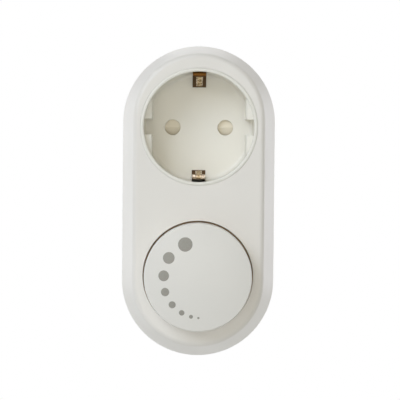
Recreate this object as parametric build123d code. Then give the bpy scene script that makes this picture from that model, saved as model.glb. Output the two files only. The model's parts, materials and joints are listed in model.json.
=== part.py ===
from build123d import *
from math import atan2, cos, degrees, radians, sin
import os

# A plug-in dimmer for LED lamps. A stadium-shaped housing carries an earthed socket
# at the top of its front, a large rotary knob at the bottom and a plug at its back.
#
# Every piece is drawn with the dimmer lying on its back: X to the right, Y up the
# face, Z out towards the user. The origin is the middle of the plug's end face, so
# a height is a distance in front of that face. save() stands each piece upright
# against the wall, where Z is up and the face looks along -Y.

# Plug and socket for two round pins with earth strips at the sides
pin_spacing = 19.0
pin_radius = 2.4
pin_length = 19.0
pin_tip_round = 2.0
plug_radius = 18.8
plug_depth = 17.5
plug_flat = 16.3
guide_rib_width = 5.0
plug_wall = 2.0
plug_end_wall = 2.2
recess_radius = 19.5
recess_depth = 17.5
recess_corner = 1.5
pin_hole_radius = 2.8
tab_flat = 16.6
tab_setback = 3.0
tab_notch_width = 5.6
tab_chamfer = 0.4

# Housing: a flat face with a rounded edge, and a flared band from it to the seam
face_width = 47.0
seam_width = 54.5
rear_width = 53.3
arc_spacing = 56.6
face_arc_spacing = 57.0
face_above_middle = 0.6
housing_depth = 30.0
step_depth = 2.0
band_depth = 11.6
face_round = 1.9
rear_round = 3.0
wall = 2.0
face_wall = 2.2
rear_wall = 2.0
socket_above_middle = 26.5
knob_below_middle = 26.1

# Seam between the two halves
lip_thickness = 0.8
lip_height = 1.2
lip_clearance = 0.15
hook_width = 12.0
hook_height = 3.6
hook_root = 4.0
hook_inset = 1.4
hook_thickness = 1.2

# Socket insert
bead_width = 1.25
bead_rise = 0.24
bead_edge_round = 0.25
insert_wall = 1.4
insert_floor = 1.2
insert_flange_lip = 0.6
insert_flange_height = 1.5
insert_clearance = 0.03

# Earth clips and strips
clip_thickness = 0.6
clip_width = 4.6
clip_tongue_width = 2.3
clip_slot_width = 4.9
clip_setback = 2.6
clip_fold_radius = 0.55
clip_inset_top = 0.2
clip_inset_bottom = 1.3
clip_groove = 0.5
clip_reach_top = 14.6
clip_reach_bottom = 15.5
clip_reach_depth = 9.5
clip_tip_rise = 1.6
clip_slot_reach = 0.1
strip_width = 4.6
strip_groove_width = 5.2
strip_run = 11.0
strip_fold_depth = 3.6
strip_recess = 0.35
strip_sink = 0.2

# Contacts and current bars
contact_wall = 0.55
contact_split = 0.7
contact_split_length = 8.5
contact_plate_width = 5.6
contact_plate_height = 3.2
bar_thickness = 0.8
bar_width = 2.4
bar_drop = 12.0
bar_bend = 1.0
switched_bar_lane = 5.2
live_bar_gap = 1.6
shoulder_radius = 2.9
shoulder_clearance = 0.05
collar_radius = 3.6
collar_thickness = 2.4
shank_radius = 2.0
rivet_radius = 1.25
rivet_head_radius = 2.2
rivet_head = 1.0
rivet_length = 6.0

# Contact base and shutter
base_back = 10.6
base_clearance = 0.6
base_side_clearance = 0.3
base_flat = 11.2
base_flange_radius = 20.0
base_flange_back = 21.5
base_chamber_radius = 3.3
base_pillar_radius = 2.4
shutter_thickness = 5.0
shutter_clearance = 0.2
shutter_half_width = 12.9
shutter_top = 3.6
shutter_bottom = 10.0
shutter_travel = 6.3
shutter_ramp_start = 0.1
shutter_ramp_depth = 1.2
shutter_hole_radius = 2.95
track_end = 12.2
shutter_spring_radius = 1.2
shutter_spring_wire = 0.3
shutter_spring_turns = 6

# Knob
knob_radius = 18.9
knob_skirt_radius = 18.9
knob_gap = 0.55
knob_hole_round = 0.2
knob_rise = 8.6
knob_dome = 1.9
knob_edge_round = 0.45
knob_skirt_depth = 2.5
knob_wall = 1.8
knob_core_draft = 0.4
knob_top = 2.0
knob_boss_radius = 4.8
knob_boss_length = 5.8
knob_rib_count = 6
knob_rib_width = 1.2
knob_rib_height = 3.0
press_travel = 1.5
well_clearance = 1.5
well_wall = 1.5
well_floor = 1.6

# Control: potentiometer with a push switch behind it
shaft_radius = 3.0
shaft_flat = 1.5
shaft_fit = 0.04
knob_fit = 0.02
shaft_foot = 1.2
shaft_top_gap = 0.6
bushing_radius = 3.5
bushing_clearance = 0.05
nut_width = 10.0
nut_height = 2.0
nut_spare_thread = 0.3
can_radius = 8.5
can_depth = 7.0
can_wall = 0.8
can_front_wall = 1.2
wiper_radius = 6.6
wiper_thickness = 0.6
wiper_hub_radius = 4.0
wiper_hub_length = 2.4
wiper_gap = 0.3
track_radius = 7.4
track_thickness = 0.8
track_hole_radius = 4.4
switch_size = 13.0
switch_depth = 6.9
switch_wall = 1.0
switch_bore_radius = 4.2
plunger_radius = 2.0
plunger_clearance = 0.12
plunger_setback = 0.5
plunger_spare = 0.4
plunger_flange_radius = 3.8
plunger_flange = 0.8
switch_spring_wire = 0.4
switch_spring_radius = 2.8
switch_spring_turns = 4
lug_width = 1.2
lug_thickness = 0.5
lug_spacing = 5.0

# Circuit board and what stands on it
board_thickness = 1.6
board_clearance = 1.65
board_top = 29.0
board_notch_radius = 3.3
heat_sink_width = 32.0
heat_sink_height = 12.5
heat_sink_thickness = 1.6
heat_sink_inset = 3.4
pad_thickness = 0.3
transistor_spacing = 15.0
transistor_width = 10.0
transistor_height = 9.2
transistor_thickness = 4.4
transistor_lift = 2.6
film_capacitor_size = (16.0, 6.6, 12.0)
film_capacitor_drop = 18.0
film_capacitor_round = 0.6
electrolytic_radius = 4.0
electrolytic_height = 11.5
electrolytic_inset = 7.8
electrolytic_rise = 6.6
electrolytic_round = 0.6
fuse_radius = 4.1
fuse_height = 8.0
fuse_rise = 7.4
left_inset = 7.6
choke_rise = 4.6
choke_flange_radius = 5.8
choke_core_radius = 2.6
choke_winding_radius = 5.2
choke_flange = 1.2
choke_height = 10.0
varistor_inset = 7.4
varistor_rise = 3.2
varistor_radius = 4.6
varistor_thickness = 3.4
varistor_round = 0.8
chip_size = (6.2, 5.0, 1.6)
chip_inset = 10.4
chip_rise = 12.6
resistor_radius = 1.2
resistor_length = 6.4
resistor_count = 3
resistor_spacing = 3.0
resistor_inset = 2.4
resistor_rise = 14.5

# Case screws and the towers that they run through
screw_radius = 1.45
screw_length = 16.0
screw_head_radius = 2.8
screw_head_height = 2.2
screw_seat_depth = 5.0
screw_clearance = 0.25
pilot_clearance = 0.05
pilot_spare = 0.9
tower_radius = 2.8
tower_foot_radius = 4.4
tower_foot_height = 1.6
tower_gap = 0.1
boss_below_seam = 0.5
screw_inset = 5.15
foot_screw_angle = 40.0
post_radius = 1.8
post_places = ((0.0, -11.5), (-17.0, 12.0), (17.0, 12.0))
ring_outer = 19.0
ring_inner = 17.3

# Heights above the plug's end face, and places up and down the face
rear_height = plug_depth
face_height = rear_height + housing_depth
step_height = face_height - step_depth
seam_height = step_height - band_depth
floor_height = face_height - recess_depth
insert_back = floor_height - insert_floor
shell_floor = rear_height + rear_wall
middle_y = -socket_above_middle
face_middle_y = middle_y + face_above_middle
foot_y = middle_y - arc_spacing / 2
knob_y = middle_y - knob_below_middle
knob_hole_radius = knob_radius + knob_gap
knob_edge_height = face_height + knob_rise
knob_skirt_height = face_height - knob_skirt_depth
well_height = knob_skirt_height - press_travel - well_clearance
can_front = well_height - well_floor
can_back = can_front - can_depth
board_front = can_back - switch_depth
board_back = board_front - board_thickness
screw_seat = rear_height + screw_seat_depth
tower_top = seam_height + boss_below_seam - tower_gap
screw_tip = screw_seat + screw_length
shutter_front = insert_back - shutter_clearance
shutter_back = shutter_front - shutter_thickness
track_floor = shutter_back - shutter_clearance
contact_top = track_floor - shutter_clearance
plate_height = base_back - bar_thickness / 2
live_bar_height = plate_height - bar_thickness - live_bar_gap
pin_x = pin_spacing / 2
base_radius = plug_radius - plug_wall - base_clearance
strip_inner_leg = plug_radius - strip_fold_depth
clip_leg_top = recess_radius - clip_inset_top
clip_leg_bottom = recess_radius - clip_inset_bottom
clip_tip = strip_inner_leg + clip_tip_rise
screw_reach = rear_width / 2 - wall - screw_inset
foot_screw_x = screw_reach * sin(radians(foot_screw_angle))
foot_screw_y = foot_y - screw_reach * cos(radians(foot_screw_angle))
screw_places = (
    (-screw_reach, middle_y),
    (screw_reach, middle_y),
    (-foot_screw_x, foot_screw_y),
    (foot_screw_x, foot_screw_y),
)
board_radius = rear_width / 2 - wall - board_clearance


def save(name, piece):
    """Stand a piece upright against the wall and write its STEP file."""
    export_step(Plane.XZ * piece, f"parts/{name}.step")


def stadium(width, height, depth, end_width=None):
    """A stadium-shaped block that starts at height and tapers to end_width over depth."""
    outline = Pos(0, middle_y, height) * SlotCenterToCenter(arc_spacing, width, rotation=90)
    slope = 0.0 if end_width is None else degrees(atan2((width - end_width) / 2, depth))
    return extrude(outline, depth, taper=slope)


def face_stadium(width, height, depth):
    """A straight stadium-shaped block on the outline of the face."""
    outline = Pos(0, face_middle_y, height) * SlotCenterToCenter(face_arc_spacing, width, rotation=90)
    return extrude(outline, depth)


def flared_band(low_width, high_width, high):
    """A block that runs from the outline at the seam to the outline of the face."""
    low_outline = Pos(0, middle_y, seam_height) * SlotCenterToCenter(arc_spacing, low_width, rotation=90)
    high_outline = Pos(0, face_middle_y, high) * SlotCenterToCenter(face_arc_spacing, high_width, rotation=90)
    return loft([low_outline, high_outline], ruled=True)


def cylinder(radius, low, high, x=0.0, y=0.0):
    """A round bar that stands on the height low and ends at the height high."""
    align = (Align.CENTER, Align.CENTER, Align.MIN)
    return Pos(x, y, low) * Cylinder(radius, high - low, align=align)


def block(x_range, y_range, z_range):
    """A box given by its limits on the three axes."""
    spans = (x_range, y_range, z_range)
    middle = [(low + high) / 2 for low, high in spans]
    return Pos(*middle) * Box(*[high - low for low, high in spans])


def turned(points, x=0.0, y=0.0):
    """A solid of revolution from a closed outline of (radius, height) points."""
    outline = make_face(Polyline(*points, close=True))
    return Pos(x, y) * revolve(Plane.XZ * outline, Axis.Z)


def edge_round_cut(radius, height, size):
    """The ring to take away so that a round hole's front edge is rounded."""
    arc = CenterArc((radius + size, height - size), size, start_angle=90, arc_size=90)
    corner = Polyline((radius + size, height), (radius, height), (radius, height - size))
    return revolve(Plane.XZ * make_face(Curve() + [arc, corner]), Axis.Z)


def bent_strip(points, thickness, width, bend, x=0.0):
    """Sheet metal bent along (up, height) points and centred on x."""
    path = FilletPolyline(*points, radius=bend)
    return Pos(X=x) * extrude(Plane.YZ * trace(path, thickness), width / 2, both=True)


def spring(radius, wire, turns, length):
    """A compression spring that stands on Z = 0 and is length tall over its wire."""
    rise = length - wire
    path = Helix(pitch=rise / turns, height=rise, radius=radius)
    section = Plane(origin=path @ 0, z_dir=path % 0) * Circle(wire / 2)
    return Pos(Z=wire / 2) * sweep(section, path=path)


def front_shell():
    """The visible half of the housing, with the knob's well and four screw bosses."""
    band = flared_band(seam_width, face_width, step_height)
    island = face_stadium(face_width, step_height, step_depth)
    island = fillet(island.faces().sort_by(Axis.Z)[-1].edges(), face_round)
    cavity = flared_band(seam_width - 2 * wall, face_width - 2 * wall, face_height - face_wall)
    shell = band + island - cavity
    lip_outside = seam_width - 2 * (wall - lip_thickness)
    shell -= stadium(lip_outside, seam_height, lip_height + lip_clearance)

    well_radius = knob_hole_radius + well_wall
    shell += cylinder(well_radius, can_front, face_height - face_wall, y=knob_y)
    for x, y in screw_places:
        boss = cylinder(tower_radius, seam_height + boss_below_seam, face_height - face_wall, x, y)
        shell += boss & flared_band(seam_width - wall, face_width - wall, face_height)
        shell -= cylinder(screw_radius + pilot_clearance, seam_height, screw_tip + pilot_spare, x, y)
    shell -= cylinder(knob_hole_radius, well_height, face_height, y=knob_y)
    shell -= Pos(Y=knob_y) * edge_round_cut(knob_hole_radius, face_height, knob_hole_round)
    shell -= cylinder(bushing_radius + bushing_clearance, can_front, well_height, y=knob_y)

    socket_radius = recess_radius + bead_width + insert_clearance
    shell -= cylinder(socket_radius, seam_height, face_height)
    return shell


def plug_barrel():
    """The outside of the plug: a drum with flats at its sides and a guide rib on each."""
    drum = cylinder(plug_radius, 0, rear_height)
    flats = block((-plug_flat, plug_flat), (-plug_radius, plug_radius), (0, rear_height))
    rib_half = guide_rib_width / 2
    ribs = block((-plug_radius, plug_radius), (-rib_half, rib_half), (0, rear_height))
    return drum & (flats + ribs)


def top_hook():
    """The tongue at the top of the rear half that catches behind the front half's wall."""
    outside = seam_width - 2 * (wall + hook_inset)
    root = seam_height - hook_root
    tongue = stadium(outside, seam_height, hook_height) + stadium(seam_width - wall, root, hook_root)
    tongue -= stadium(outside - 2 * hook_thickness, root, hook_root + hook_height)
    half = hook_width / 2
    return tongue & block((-half, half), (0, seam_width), (root, seam_height + hook_height))


def rear_shell():
    """The wall-side half of the housing, moulded in one piece with the plug's barrel."""
    tray = stadium(rear_width, rear_height, seam_height - rear_height, seam_width)
    tray = fillet(tray.faces().sort_by(Axis.Z)[0].edges(), rear_round)
    lip_outside = seam_width - 2 * (wall - lip_thickness + lip_clearance)
    shell = tray + plug_barrel()
    shell += stadium(lip_outside, seam_height, lip_height)
    inner_width = seam_width - 2 * wall
    shell -= stadium(rear_width - 2 * wall, shell_floor, seam_height - shell_floor, inner_width)
    shell -= stadium(inner_width, seam_height, lip_height)
    half_bore = plug_flat - plug_wall
    bore = block((-half_bore, half_bore), (-plug_radius, plug_radius), (plug_end_wall, shell_floor))
    shell -= bore & cylinder(plug_radius - plug_wall, plug_end_wall, shell_floor)

    ring = cylinder(ring_outer, shell_floor, base_flange_back)
    shell += ring - cylinder(ring_inner, shell_floor, base_flange_back)
    half_lanes = pin_x + bar_width
    shell -= block((-half_lanes, half_lanes), (-ring_outer - wall, 0), (shell_floor, base_flange_back))
    slot_half = strip_groove_width / 2
    slot_x = (-slot_half, slot_half)
    shell -= block(slot_x, (ring_inner - wall, ring_outer + wall), (shell_floor, base_flange_back))

    for x, y in screw_places:
        foot_top = screw_seat + tower_foot_height
        shell += cylinder(tower_foot_radius, shell_floor, foot_top, x, y)
        shell += cylinder(tower_radius, foot_top, tower_top, x, y)
        shell -= cylinder(screw_head_radius + 2 * screw_clearance, rear_height, screw_seat, x, y)
        shell -= cylinder(screw_radius + screw_clearance, screw_seat, tower_top, x, y)
    for x, y in post_places:
        shell += cylinder(post_radius, shell_floor, board_back, x, knob_y + y)

    for side in (-1, 1):
        shell -= cylinder(shoulder_radius + shoulder_clearance, 0, plug_end_wall, x=side * pin_x)
        groove_floor = plug_radius - strip_sink - clip_thickness - strip_sink
        groove = block(slot_x, (groove_floor, plug_radius), (0, strip_run + 2 * wall))
        through = block(slot_x, (strip_inner_leg - clip_thickness, plug_radius), (0, plug_end_wall))
        shell -= Rot(Z=0 if side > 0 else 180) * (groove + through)
    return shell + top_hook()


def socket_insert():
    """The recess that a plug goes into, with its guide tabs, pin holes and clip slots."""
    outer = recess_radius + insert_wall
    bead_outer = recess_radius + bead_width
    bead_middle = recess_radius + bead_width / 2
    flange_top = face_height - face_wall
    flange_low = flange_top - insert_flange_height
    flange_radius = bead_outer + insert_flange_lip
    side = Polyline(
        (0, insert_back), (outer, insert_back), (outer, flange_low), (flange_radius, flange_low),
        (flange_radius, flange_top), (bead_outer, flange_top), (bead_outer, face_height),
    )
    rim = (recess_radius, face_height)
    bead = ThreePointArc((bead_outer, face_height), (bead_middle, face_height + bead_rise), rim)
    corner_top = (recess_radius, floor_height + recess_corner)
    corner = RadiusArc(corner_top, (recess_radius - recess_corner, floor_height), recess_corner)
    lines = [
        Line(rim, corner_top),
        corner,
        Polyline((recess_radius - recess_corner, floor_height), (0, floor_height), (0, insert_back)),
    ]
    outline = make_face(Curve() + [side, bead] + lines)
    rim_corner = outline.vertices().sort_by_distance(rim)[0]
    pot = revolve(Plane.XZ * fillet(rim_corner, bead_edge_round), Axis.Z)

    tab_top = face_height - tab_setback
    notch = tab_notch_width / 2
    for direction in (-1, 1):
        edge = sorted((direction * tab_flat, direction * outer))
        tab = block(edge, (-recess_radius, recess_radius), (insert_back, tab_top))
        inner_edges = tab.edges().filter_by(Axis.Y).group_by(Axis.Z)[-1]
        tab = chamfer(inner_edges, tab_chamfer)
        tab -= block(edge, (-notch, notch), (insert_back, tab_top))
        pot += tab & cylinder(recess_radius + insert_wall / 2, insert_back, tab_top)

    slot = clip_slot_width / 2
    groove_top = face_height - clip_setback + clip_setback / 2
    for turn, reach in ((0, clip_reach_top), (180, clip_reach_bottom)):
        through = block((-slot, slot), (reach - clip_slot_reach, recess_radius), (insert_back, floor_height))
        corner_room = block(
            (-slot, slot), (recess_radius - 2 * recess_corner, recess_radius),
            (insert_back, floor_height + recess_corner),
        )
        groove_y = (recess_radius - insert_wall, recess_radius + clip_groove)
        groove = block((-slot, slot), groove_y, (insert_back, groove_top))
        pot -= Rot(Z=turn) * (through + corner_room + groove)
    for side_x in (-pin_x, pin_x):
        pot -= cylinder(pin_hole_radius, insert_back, floor_height, x=side_x)
    return pot


def shutter_slider():
    """The child-safety shutter: two closed pads, and the ramps by which pins lift it."""
    half_width = (-shutter_half_width, shutter_half_width)
    slider = block(half_width, (-shutter_bottom, shutter_top), (shutter_back, shutter_front))
    slider = chamfer(slider.edges().filter_by(Axis.Z), shutter_clearance)
    ramp_foot = shutter_front - shutter_ramp_depth
    hole_top = -shutter_travel + shutter_hole_radius
    ramp = make_face(Polyline(
        (shutter_ramp_start, shutter_front), (-shutter_travel, shutter_front),
        (-shutter_travel, ramp_foot), (hole_top, ramp_foot), close=True,
    ))
    for x in (-pin_x, pin_x):
        slider -= cylinder(shutter_hole_radius, shutter_back, shutter_front, x, -shutter_travel)
        slider -= Pos(X=x) * extrude(Plane.YZ * ramp, shutter_hole_radius, both=True)
    return slider


def shutter_spring():
    """The spring between the shutter's top edge and the end of its track."""
    coil = spring(
        shutter_spring_radius, shutter_spring_wire, shutter_spring_turns,
        track_end - shutter_top - 2 * shutter_clearance,
    )
    height = (shutter_front + shutter_back) / 2
    return Pos(0, shutter_top + shutter_clearance, height) * Rot(X=-90) * coil


def contact_base():
    """The insulator that holds both contacts and forms the shutter's track."""
    base = cylinder(base_radius, base_back, base_flange_back)
    half_base = plug_flat - plug_wall - base_side_clearance
    base &= block((-half_base, half_base), (-base_flat, base_radius), (base_back, base_flange_back))
    base += cylinder(base_flange_radius, base_flange_back, insert_back)
    pillar_end = plate_height - bar_thickness - clip_thickness / 2
    base += cylinder(base_pillar_radius, pillar_end, base_back)
    half_track = shutter_half_width + shutter_clearance
    track_foot = -shutter_bottom - shutter_clearance
    base -= block((-half_track, half_track), (track_foot, track_end), (track_floor, insert_back))
    for x in (-pin_x, pin_x):
        base -= cylinder(base_chamber_radius, base_back, track_floor, x=x)
    slot = clip_slot_width / 2
    for turn, leg in ((0, clip_leg_top), (180, clip_leg_bottom)):
        outer_y = (leg - clip_thickness, base_flange_radius)
        outer_notch = block((-slot, slot), outer_y, (base_flange_back, insert_back))
        inner_notch = block((-slot, slot), (strip_inner_leg, base_radius), (base_back, base_flange_back))
        base -= Rot(Z=turn) * (outer_notch + inner_notch)
    return base - cylinder(rivet_radius, pillar_end, pillar_end + rivet_length)


def contact_sleeve(x):
    """A split sleeve that grips a plug's pin."""
    sleeve = cylinder(pin_radius + contact_wall, base_back, contact_top, x=x)
    sleeve -= cylinder(pin_radius, base_back, contact_top, x=x)
    half = contact_split / 2
    reach = pin_radius + 2 * contact_wall
    split = block((x - reach, x + reach), (-half, half), (contact_top - contact_split_length, contact_top))
    return sleeve - split


def current_bar(height, lane_x):
    """A bar from its plate in the plug down to the circuit board's back."""
    turn_height = (shell_floor + base_flange_back) / 2
    board_y = -board_top - 2 * bar_width / 2 - bar_thickness
    points = (
        (0, height), (-bar_drop, height), (-bar_drop, turn_height),
        (board_y, turn_height), (board_y, board_back),
    )
    return bent_strip(points, bar_thickness, bar_width, bar_bend, lane_x)


def contact(root_x, lane_x):
    """A socket contact stamped in one piece with its plate and its current bar."""
    plate_half = contact_plate_width / 2
    bar_half = bar_width / 2
    edges = (root_x - plate_half, root_x + plate_half, lane_x - bar_half, lane_x + bar_half)
    plate_y = (-contact_plate_height, contact_plate_height)
    plate = block((min(edges), max(edges)), plate_y, (base_back - bar_thickness, base_back))
    return contact_sleeve(root_x) + plate + current_bar(plate_height, lane_x)


def plug_pin(x, root_height):
    """A plug pin with a rounded tip, a collar behind the plug's end wall and a shank."""
    pin = cylinder(pin_radius, -pin_length, 0)
    pin = fillet(pin.faces().sort_by(Axis.Z)[0].edges(), pin_tip_round)
    pin += cylinder(shoulder_radius, 0, plug_end_wall)
    pin += cylinder(collar_radius, plug_end_wall, plug_end_wall + collar_thickness)
    pin += cylinder(shank_radius, plug_end_wall + collar_thickness, root_height)
    return Pos(X=x) * pin


def live_bar():
    """The bar that brings the live pin's current to the circuit board."""
    plate_z = (live_bar_height - bar_thickness / 2, live_bar_height + bar_thickness / 2)
    half = contact_plate_width / 2
    plate = block((-pin_x - half, -pin_x + half), (-contact_plate_height, contact_plate_height), plate_z)
    return plate + current_bar(live_bar_height, -pin_x)


def earth_clip(outer_leg, reach):
    """One sprung clip: a leg up the recess wall, folded over into a narrower tongue."""
    crest = face_height - clip_setback - clip_fold_radius - clip_thickness / 2
    tongue_root = outer_leg - 2 * clip_fold_radius
    jog_height = (shell_floor + base_flange_back) / 2
    inner_leg = strip_inner_leg + clip_thickness
    cross = plate_height - bar_thickness - clip_thickness
    jog_bend = min(clip_thickness, abs(outer_leg - inner_leg) / 2)
    leg = FilletPolyline(
        (0, cross), (inner_leg, cross), (inner_leg, jog_height), (outer_leg, jog_height), (outer_leg, crest),
        radius=(clip_thickness, jog_bend, jog_bend),
    )
    fold = ThreePointArc(
        (outer_leg, crest), (outer_leg - clip_fold_radius, crest + clip_fold_radius), (tongue_root, crest)
    )
    bulge = (reach + clip_thickness / 2, face_height - clip_reach_depth)
    tip = (clip_tip, insert_back + clip_thickness)
    tongue = FilletPolyline(
        (tongue_root, crest), (tongue_root, crest - clip_thickness), bulge, tip, radius=2 * clip_thickness
    )
    wide = trace(leg, clip_thickness) + trace(fold, clip_thickness)
    narrow = trace(tongue, clip_thickness)
    clip = extrude(Plane.YZ * wide, clip_width / 2, both=True)
    return clip + extrude(Plane.YZ * narrow, clip_tongue_width / 2, both=True)


def earth_clips():
    """The socket's earth bracket, with a clip at the top and one at the bottom."""
    lower_clip = earth_clip(clip_leg_bottom, clip_reach_bottom)
    bracket = earth_clip(clip_leg_top, clip_reach_top) + Rot(Z=180) * lower_clip
    cross = plate_height - bar_thickness - clip_thickness
    return bracket - cylinder(rivet_radius, cross - clip_thickness, cross + clip_thickness)


def earth_strips():
    """The plug's earth bracket, folded over the end face into both side grooves."""
    cross = plate_height - bar_thickness - 2 * clip_thickness
    outer_leg = plug_radius - strip_sink - clip_thickness / 2
    fold_radius = (outer_leg - strip_inner_leg) / 2
    fold_height = strip_recess + clip_thickness / 2 + fold_radius
    leg = FilletPolyline(
        (0, cross), (strip_inner_leg, cross), (strip_inner_leg, fold_height), radius=clip_thickness
    )
    fold = ThreePointArc(
        (strip_inner_leg, fold_height), ((strip_inner_leg + outer_leg) / 2, fold_height - fold_radius),
        (outer_leg, fold_height),
    )
    outside = Line((outer_leg, fold_height), (outer_leg, fold_height + strip_run))
    profile = trace(leg, clip_thickness) + trace(fold, clip_thickness) + trace(outside, clip_thickness)
    half = extrude(Plane.YZ * profile, strip_width / 2, both=True)
    bracket = half + Rot(Z=180) * half
    return bracket - cylinder(rivet_radius, cross - clip_thickness, cross + clip_thickness)


def earth_rivet():
    """The rivet that joins both earth brackets to the contact base's pillar."""
    pillar_end = plate_height - bar_thickness - clip_thickness / 2
    seat = pillar_end - 2 * clip_thickness
    shank = cylinder(rivet_radius, seat, pillar_end + rivet_length)
    return shank + cylinder(rivet_head_radius, seat - rivet_head, seat)


def knob():
    """The rotary knob: a shallow dome over a drafted skirt, hollow behind, with ribs."""
    dome_radius = (knob_radius**2 + knob_dome**2) / (2 * knob_dome)
    dome_height = knob_edge_height + knob_dome
    edge = (knob_radius, knob_edge_height)
    side = Polyline((0, knob_skirt_height), (knob_skirt_radius, knob_skirt_height), edge)
    dome = RadiusArc(edge, (0, dome_height), -dome_radius)
    axis_line = Line((0, dome_height), (0, knob_skirt_height))
    outline = make_face(Curve() + [side, dome, axis_line])
    rim = outline.vertices().sort_by_distance(edge)[0]
    body = revolve(Plane.XZ * fillet(rim, knob_edge_round), Axis.Z)
    ceiling = knob_edge_height - knob_top
    hollow_low = knob_skirt_radius - knob_wall
    hollow_high = knob_radius - knob_wall - knob_core_draft
    body -= turned((
        (0, knob_skirt_height), (hollow_low, knob_skirt_height), (hollow_high, ceiling), (0, ceiling),
    ))
    boss_low = ceiling - knob_boss_length
    body += cylinder(knob_boss_radius, boss_low, ceiling)
    half_rib = knob_rib_width / 2
    rib = block((0, hollow_high + knob_wall / 2), (-half_rib, half_rib), (ceiling - knob_rib_height, ceiling))
    for index in range(knob_rib_count):
        body += Rot(Z=360 / knob_rib_count * index) * rib
    socket_radius = shaft_radius + knob_fit
    body -= d_section(socket_radius, shaft_flat + knob_fit, boss_low, ceiling - shaft_top_gap / 2)
    return Pos(Y=knob_y) * body


def d_section(radius, flat, low, high):
    """A round bar with one flat, the section that a knob, a shaft and a hub share."""
    return cylinder(radius, low, high) & block((-radius, radius), (-radius, flat), (low, high))


def control_shaft():
    """The shaft that the knob sits on, flattened at both ends and round in its bushing."""
    top = knob_edge_height - knob_top - shaft_top_gap
    bushing_top = well_height + nut_height + nut_spare_thread
    shaft = d_section(shaft_radius, shaft_flat, can_back - shaft_foot, top)
    shaft += cylinder(shaft_radius, can_front - can_front_wall + press_travel, bushing_top)
    return Pos(Y=knob_y) * shaft


def potentiometer_can():
    """The potentiometer's metal can and the threaded bushing on its front."""
    bushing_top = well_height + nut_height + nut_spare_thread
    can = cylinder(can_radius, can_back, can_front)
    can -= cylinder(can_radius - can_wall, can_back, can_front - can_front_wall)
    can += cylinder(bushing_radius, can_front, bushing_top)
    can -= cylinder(shaft_radius + shaft_fit, can_back, bushing_top)
    return Pos(Y=knob_y) * can


def potentiometer_nut():
    """The nut that clamps the bushing to the floor of the knob's well."""
    hexagon = Pos(0, knob_y, well_height) * RegularPolygon(nut_width / 2, 6, major_radius=False)
    nut = extrude(hexagon, nut_height)
    return nut - cylinder(bushing_radius, well_height, well_height + nut_height, y=knob_y)


def wiper():
    """The wiper disc, whose hub slides on the shaft's flat and turns with it."""
    top = can_front - can_front_wall - wiper_gap
    disc = cylinder(wiper_radius, top - wiper_thickness, top)
    hub = cylinder(wiper_hub_radius, top - wiper_hub_length, top)
    bore = d_section(shaft_radius + shaft_fit, shaft_flat + shaft_fit, top - wiper_hub_length, top)
    return Pos(Y=knob_y) * (disc + hub - bore)


def resistance_track():
    """The board of resistive film that the wiper runs over."""
    top = can_front - can_front_wall - 2 * wiper_gap - wiper_thickness
    disc = cylinder(track_radius, top - track_thickness, top)
    return Pos(Y=knob_y) * (disc - cylinder(track_hole_radius, top - track_thickness, top))


def switch_case():
    """The case of the push switch behind the potentiometer."""
    half = switch_size / 2
    case = block((-half, half), (-half, half), (board_front, can_back))
    case -= cylinder(switch_bore_radius, board_front + switch_wall, can_back - switch_wall)
    case -= cylinder(shaft_radius + plunger_clearance, can_back - switch_wall, can_back)
    return Pos(Y=knob_y) * case


def switch_plunger():
    """The plunger that the shaft pushes on to change the switch over."""
    flange_top = can_back - switch_wall - plunger_setback
    bottom = board_front + switch_wall + press_travel + plunger_spare
    plunger = cylinder(plunger_radius, bottom, can_back - shaft_foot)
    plunger += cylinder(plunger_flange_radius, flange_top - plunger_flange, flange_top)
    return Pos(Y=knob_y) * plunger


def switch_spring():
    """The spring that pushes the plunger, the shaft and the knob back out."""
    flange_low = can_back - switch_wall - plunger_setback - plunger_flange
    bottom = board_front + switch_wall
    coil = spring(switch_spring_radius, switch_spring_wire, switch_spring_turns, flange_low - bottom)
    return Pos(0, knob_y, bottom) * coil


def terminal_lugs():
    """The potentiometer's three lugs, soldered into the circuit board."""
    lug = block(
        (-lug_width / 2, lug_width / 2),
        (-can_radius - lug_thickness, -can_radius),
        (board_front, can_front - can_depth / 2),
    )
    return Compound([Pos(lug_spacing * step, knob_y) * lug for step in (-1, 0, 1)])


def circuit_board():
    """The board, cut to the housing's lower end and notched round the screw towers."""
    board = cylinder(board_radius, board_back, board_front, y=foot_y)
    board += block((-board_radius, board_radius), (foot_y, -board_top), (board_back, board_front))
    for x, y in screw_places[2:]:
        board -= cylinder(board_notch_radius, board_back, board_front, x, y)
        outward = degrees(atan2(y - foot_y, x))
        mouth = block((0, board_radius), (-board_notch_radius, board_notch_radius), (board_back, board_front))
        board -= Pos(x, y) * Rot(Z=outward) * mouth
    return board


def on_board(x, y):
    """Where a component stands on the board."""
    return Pos(x, y, board_front)


def heat_sink():
    """An upright aluminium plate at the board's top edge."""
    half = heat_sink_width / 2
    top = -board_top - heat_sink_inset
    plate_z = (board_front, board_front + heat_sink_height)
    return block((-half, half), (top - heat_sink_thickness, top), plate_z)


def on_heat_sink(inner, outer):
    """A pair of transistor-sized blocks between two distances from the heat sink's face."""
    face = -board_top - heat_sink_inset - heat_sink_thickness
    low = board_front + transistor_lift
    half = transistor_width / 2
    body = block((-half, half), (face - outer, face - inner), (low, low + transistor_height))
    return Compound([Pos(X=side * transistor_spacing / 2) * body for side in (-1, 1)])


def film_capacitor():
    """The mains suppression capacitor, a moulded box."""
    width, depth, height = film_capacitor_size
    box = Box(width, depth, height, align=(Align.CENTER, Align.CENTER, Align.MIN))
    box = fillet(box.edges().filter_by(Axis.Z), film_capacitor_round)
    return on_board(0, knob_y - film_capacitor_drop) * box


def electrolytic_capacitor():
    """The supply capacitor, an upright can with a rounded top."""
    can = Cylinder(electrolytic_radius, electrolytic_height, align=(Align.CENTER, Align.CENTER, Align.MIN))
    can = fillet(can.faces().sort_by(Axis.Z)[-1].edges(), electrolytic_round)
    return on_board(board_radius - electrolytic_inset, foot_screw_y + electrolytic_rise) * can


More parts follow.
